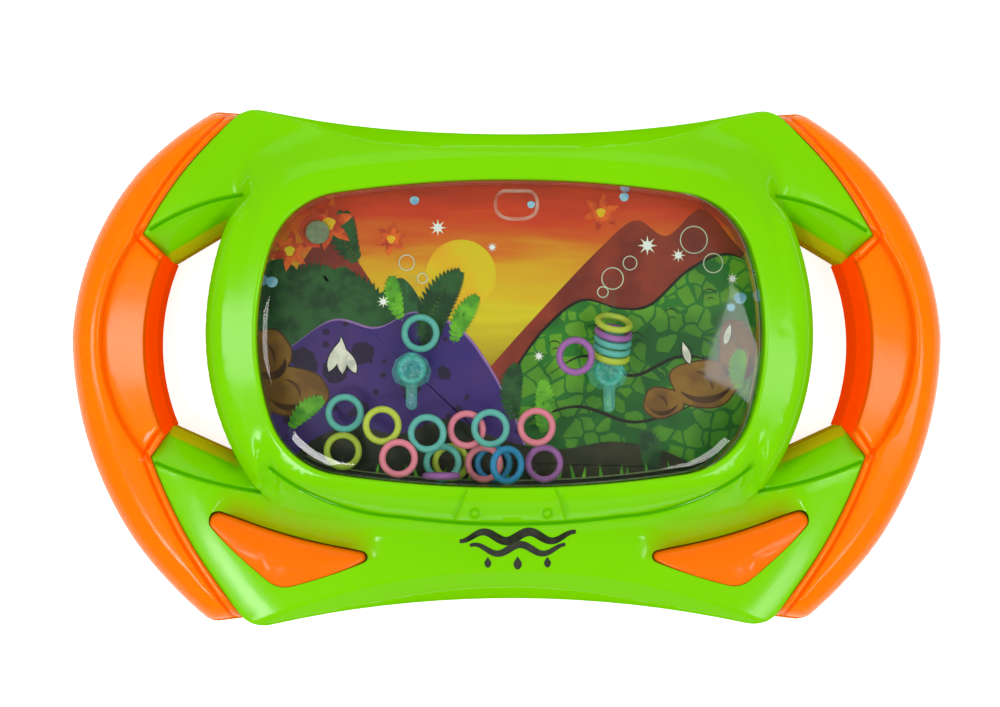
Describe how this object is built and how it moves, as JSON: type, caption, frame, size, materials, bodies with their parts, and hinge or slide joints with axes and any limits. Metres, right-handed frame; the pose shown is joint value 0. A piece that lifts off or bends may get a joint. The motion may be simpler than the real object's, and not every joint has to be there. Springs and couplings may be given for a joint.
{
  "type": "water ring toss game",
  "caption": "Handheld water game: two thumb pumps push loose rings up through a water tank onto pegs, between side grips.",
  "frame": {"origin": "middle of the back face, where the toy lies on its back", "axes": "+X to the toy's right, +Y to its top, +Z out of the window"},
  "size_m": [0.2208, 0.1308, 0.0382],
  "materials": {
    "green_plastic": "glossy injection-moulded lime green",
    "orange_plastic": "glossy injection-moulded orange",
    "button_plastic": "glossy orange, a little redder than the handles",
    "white_plastic": "plain moulded white",
    "rubber": "soft translucent rubber",
    "clear_plastic": "clear glossy polystyrene",
    "peg_plastic": "tinted see-through plastic",
    "printed_card": null,
    "plug_plastic": "soft translucent plastic",
    "steel": "zinc-plated steel",
    "ring_teal": "satin teal",
    "ring_pink": "satin pink",
    "ring_lime": "satin yellow-green",
    "ring_purple": "satin purple",
    "ring_blue": "satin blue"
  },
  "bodies": {
    "casing": {"front_shell": "green_plastic", "back_shell": "green_plastic", "handle_left_front": "orange_plastic", "handle_right_front": "orange_plastic", "handle_left_back": "orange_plastic", "handle_right_back": "orange_plastic", "pump_cup_left": "white_plastic", "pump_cup_right": "white_plastic", "pump_bulb_left": "rubber", "pump_bulb_right": "rubber", "pump_hose_left": "rubber", "pump_hose_right": "rubber", "tank_front": "clear_plastic", "tank_back": "clear_plastic", "picture_card": "printed_card", "peg_left": "peg_plastic", "peg_right": "peg_plastic", "case_screws": "steel", "handle_screws": "steel"},
    "button_left": {"button_left": "button_plastic"},
    "button_right": {"button_right": "button_plastic"},
    "filler_plug": {"filler_plug": "plug_plastic"},
    "ring_01": {"ring_01": "ring_teal"},
    "ring_02": {"ring_02": "ring_pink"},
    "ring_03": {"ring_03": "ring_teal"},
    "ring_04": {"ring_04": "ring_pink"},
    "ring_05": {"ring_05": "ring_teal"},
    "ring_06": {"ring_06": "ring_lime"},
    "ring_07": {"ring_07": "ring_pink"},
    "ring_08": {"ring_08": "ring_blue"},
    "ring_09": {"ring_09": "ring_purple"},
    "ring_10": {"ring_10": "ring_teal"},
    "ring_11": {"ring_11": "ring_lime"},
    "ring_12": {"ring_12": "ring_lime"},
    "ring_13": {"ring_13": "ring_pink"},
    "ring_14": {"ring_14": "ring_teal"},
    "ring_15": {"ring_15": "ring_purple"},
    "ring_16": {"ring_16": "ring_purple"},
    "ring_17": {"ring_17": "ring_blue"},
    "ring_18": {"ring_18": "ring_lime"},
    "ring_19": {"ring_19": "ring_teal"},
    "ring_20": {"ring_20": "ring_teal"},
    "ring_21": {"ring_21": "ring_purple"},
    "ring_22": {"ring_22": "ring_lime"}
  },
  "joints": [
    {"name": "press_left", "type": "slide", "parent": "casing", "child": "button_left", "axis": [0, 0, -1], "range_m": [0, 0.004], "stiffness_N_per_m": 300, "springref_m": -0.0005, "deforming": ["pump_bulb_left"]},
    {"name": "press_right", "type": "slide", "parent": "casing", "child": "button_right", "axis": [0, 0, -1], "range_m": [0, 0.004], "stiffness_N_per_m": 300, "springref_m": -0.0005, "deforming": ["pump_bulb_right"]},
    {"name": "pull_plug", "type": "slide", "parent": "casing", "child": "filler_plug", "axis": [0, 0, -1], "range_m": [0, 0.012]},
    {"name": "float_01", "type": "slide", "parent": "casing", "child": "ring_01", "axis": [0, 1, 0], "range_m": [0, 0.054]},
    {"name": "float_02", "type": "slide", "parent": "casing", "child": "ring_02", "axis": [0, 1, 0], "range_m": [0, 0.054]},
    {"name": "float_03", "type": "slide", "parent": "casing", "child": "ring_03", "axis": [0, 1, 0], "range_m": [0, 0.054]},
    {"name": "float_04", "type": "slide", "parent": "casing", "child": "ring_04", "axis": [0, 1, 0], "range_m": [0, 0.053]},
    {"name": "float_05", "type": "slide", "parent": "casing", "child": "ring_05", "axis": [0, 1, 0], "range_m": [0, 0.06]},
    {"name": "float_06", "type": "slide", "parent": "casing", "child": "ring_06", "axis": [0, 1, 0], "range_m": [0, 0.06]},
    {"name": "float_07", "type": "slide", "parent": "casing", "child": "ring_07", "axis": [0, 1, 0], "range_m": [0, 0.06]},
    {"name": "float_08", "type": "slide", "parent": "casing", "child": "ring_08", "axis": [0, 1, 0], "range_m": [0, 0.06]},
    {"name": "float_09", "type": "slide", "parent": "casing", "child": "ring_09", "axis": [0, 1, 0], "range_m": [0, 0.06]},
    {"name": "float_10", "type": "slide", "parent": "casing", "child": "ring_10", "axis": [0, 1, 0], "range_m": [0, 0.047]},
    {"name": "float_11", "type": "slide", "parent": "casing", "child": "ring_11", "axis": [0, 1, 0], "range_m": [0, 0.05]},
    {"name": "float_12", "type": "slide", "parent": "casing", "child": "ring_12", "axis": [0, 1, 0], "range_m": [0, 0.056]},
    {"name": "float_13", "type": "slide", "parent": "casing", "child": "ring_13", "axis": [0, 1, 0], "range_m": [0, 0.06]},
    {"name": "float_14", "type": "slide", "parent": "casing", "child": "ring_14", "axis": [0, 1, 0], "range_m": [0, 0.029]},
    {"name": "float_15", "type": "slide", "parent": "casing", "child": "ring_15", "axis": [0, 1, 0], "range_m": [0, 0.035]},
    {"name": "float_16", "type": "slide", "parent": "casing", "child": "ring_16", "axis": [0, 1, 0], "range_m": [0, 0.0044]},
    {"name": "float_17", "type": "slide", "parent": "casing", "child": "ring_17", "axis": [0, 1, 0], "range_m": [0, 0.06]},
    {"name": "lift_18", "type": "slide", "parent": "casing", "child": "ring_18", "axis": [0, 1, 0], "range_m": [0, 0.005]},
    {"name": "lift_19", "type": "slide", "parent": "ring_18", "child": "ring_19", "axis": [0, 1, 0], "range_m": [0, 0.005]},
    {"name": "lift_20", "type": "slide", "parent": "ring_19", "child": "ring_20", "axis": [0, 1, 0], "range_m": [0, 0.005]},
    {"name": "lift_21", "type": "slide", "parent": "ring_20", "child": "ring_21", "axis": [0, 1, 0], "range_m": [0, 0.005]},
    {"name": "lift_22", "type": "slide", "parent": "ring_21", "child": "ring_22", "axis": [0, 1, 0], "range_m": [0, 0.005]}
  ]
}
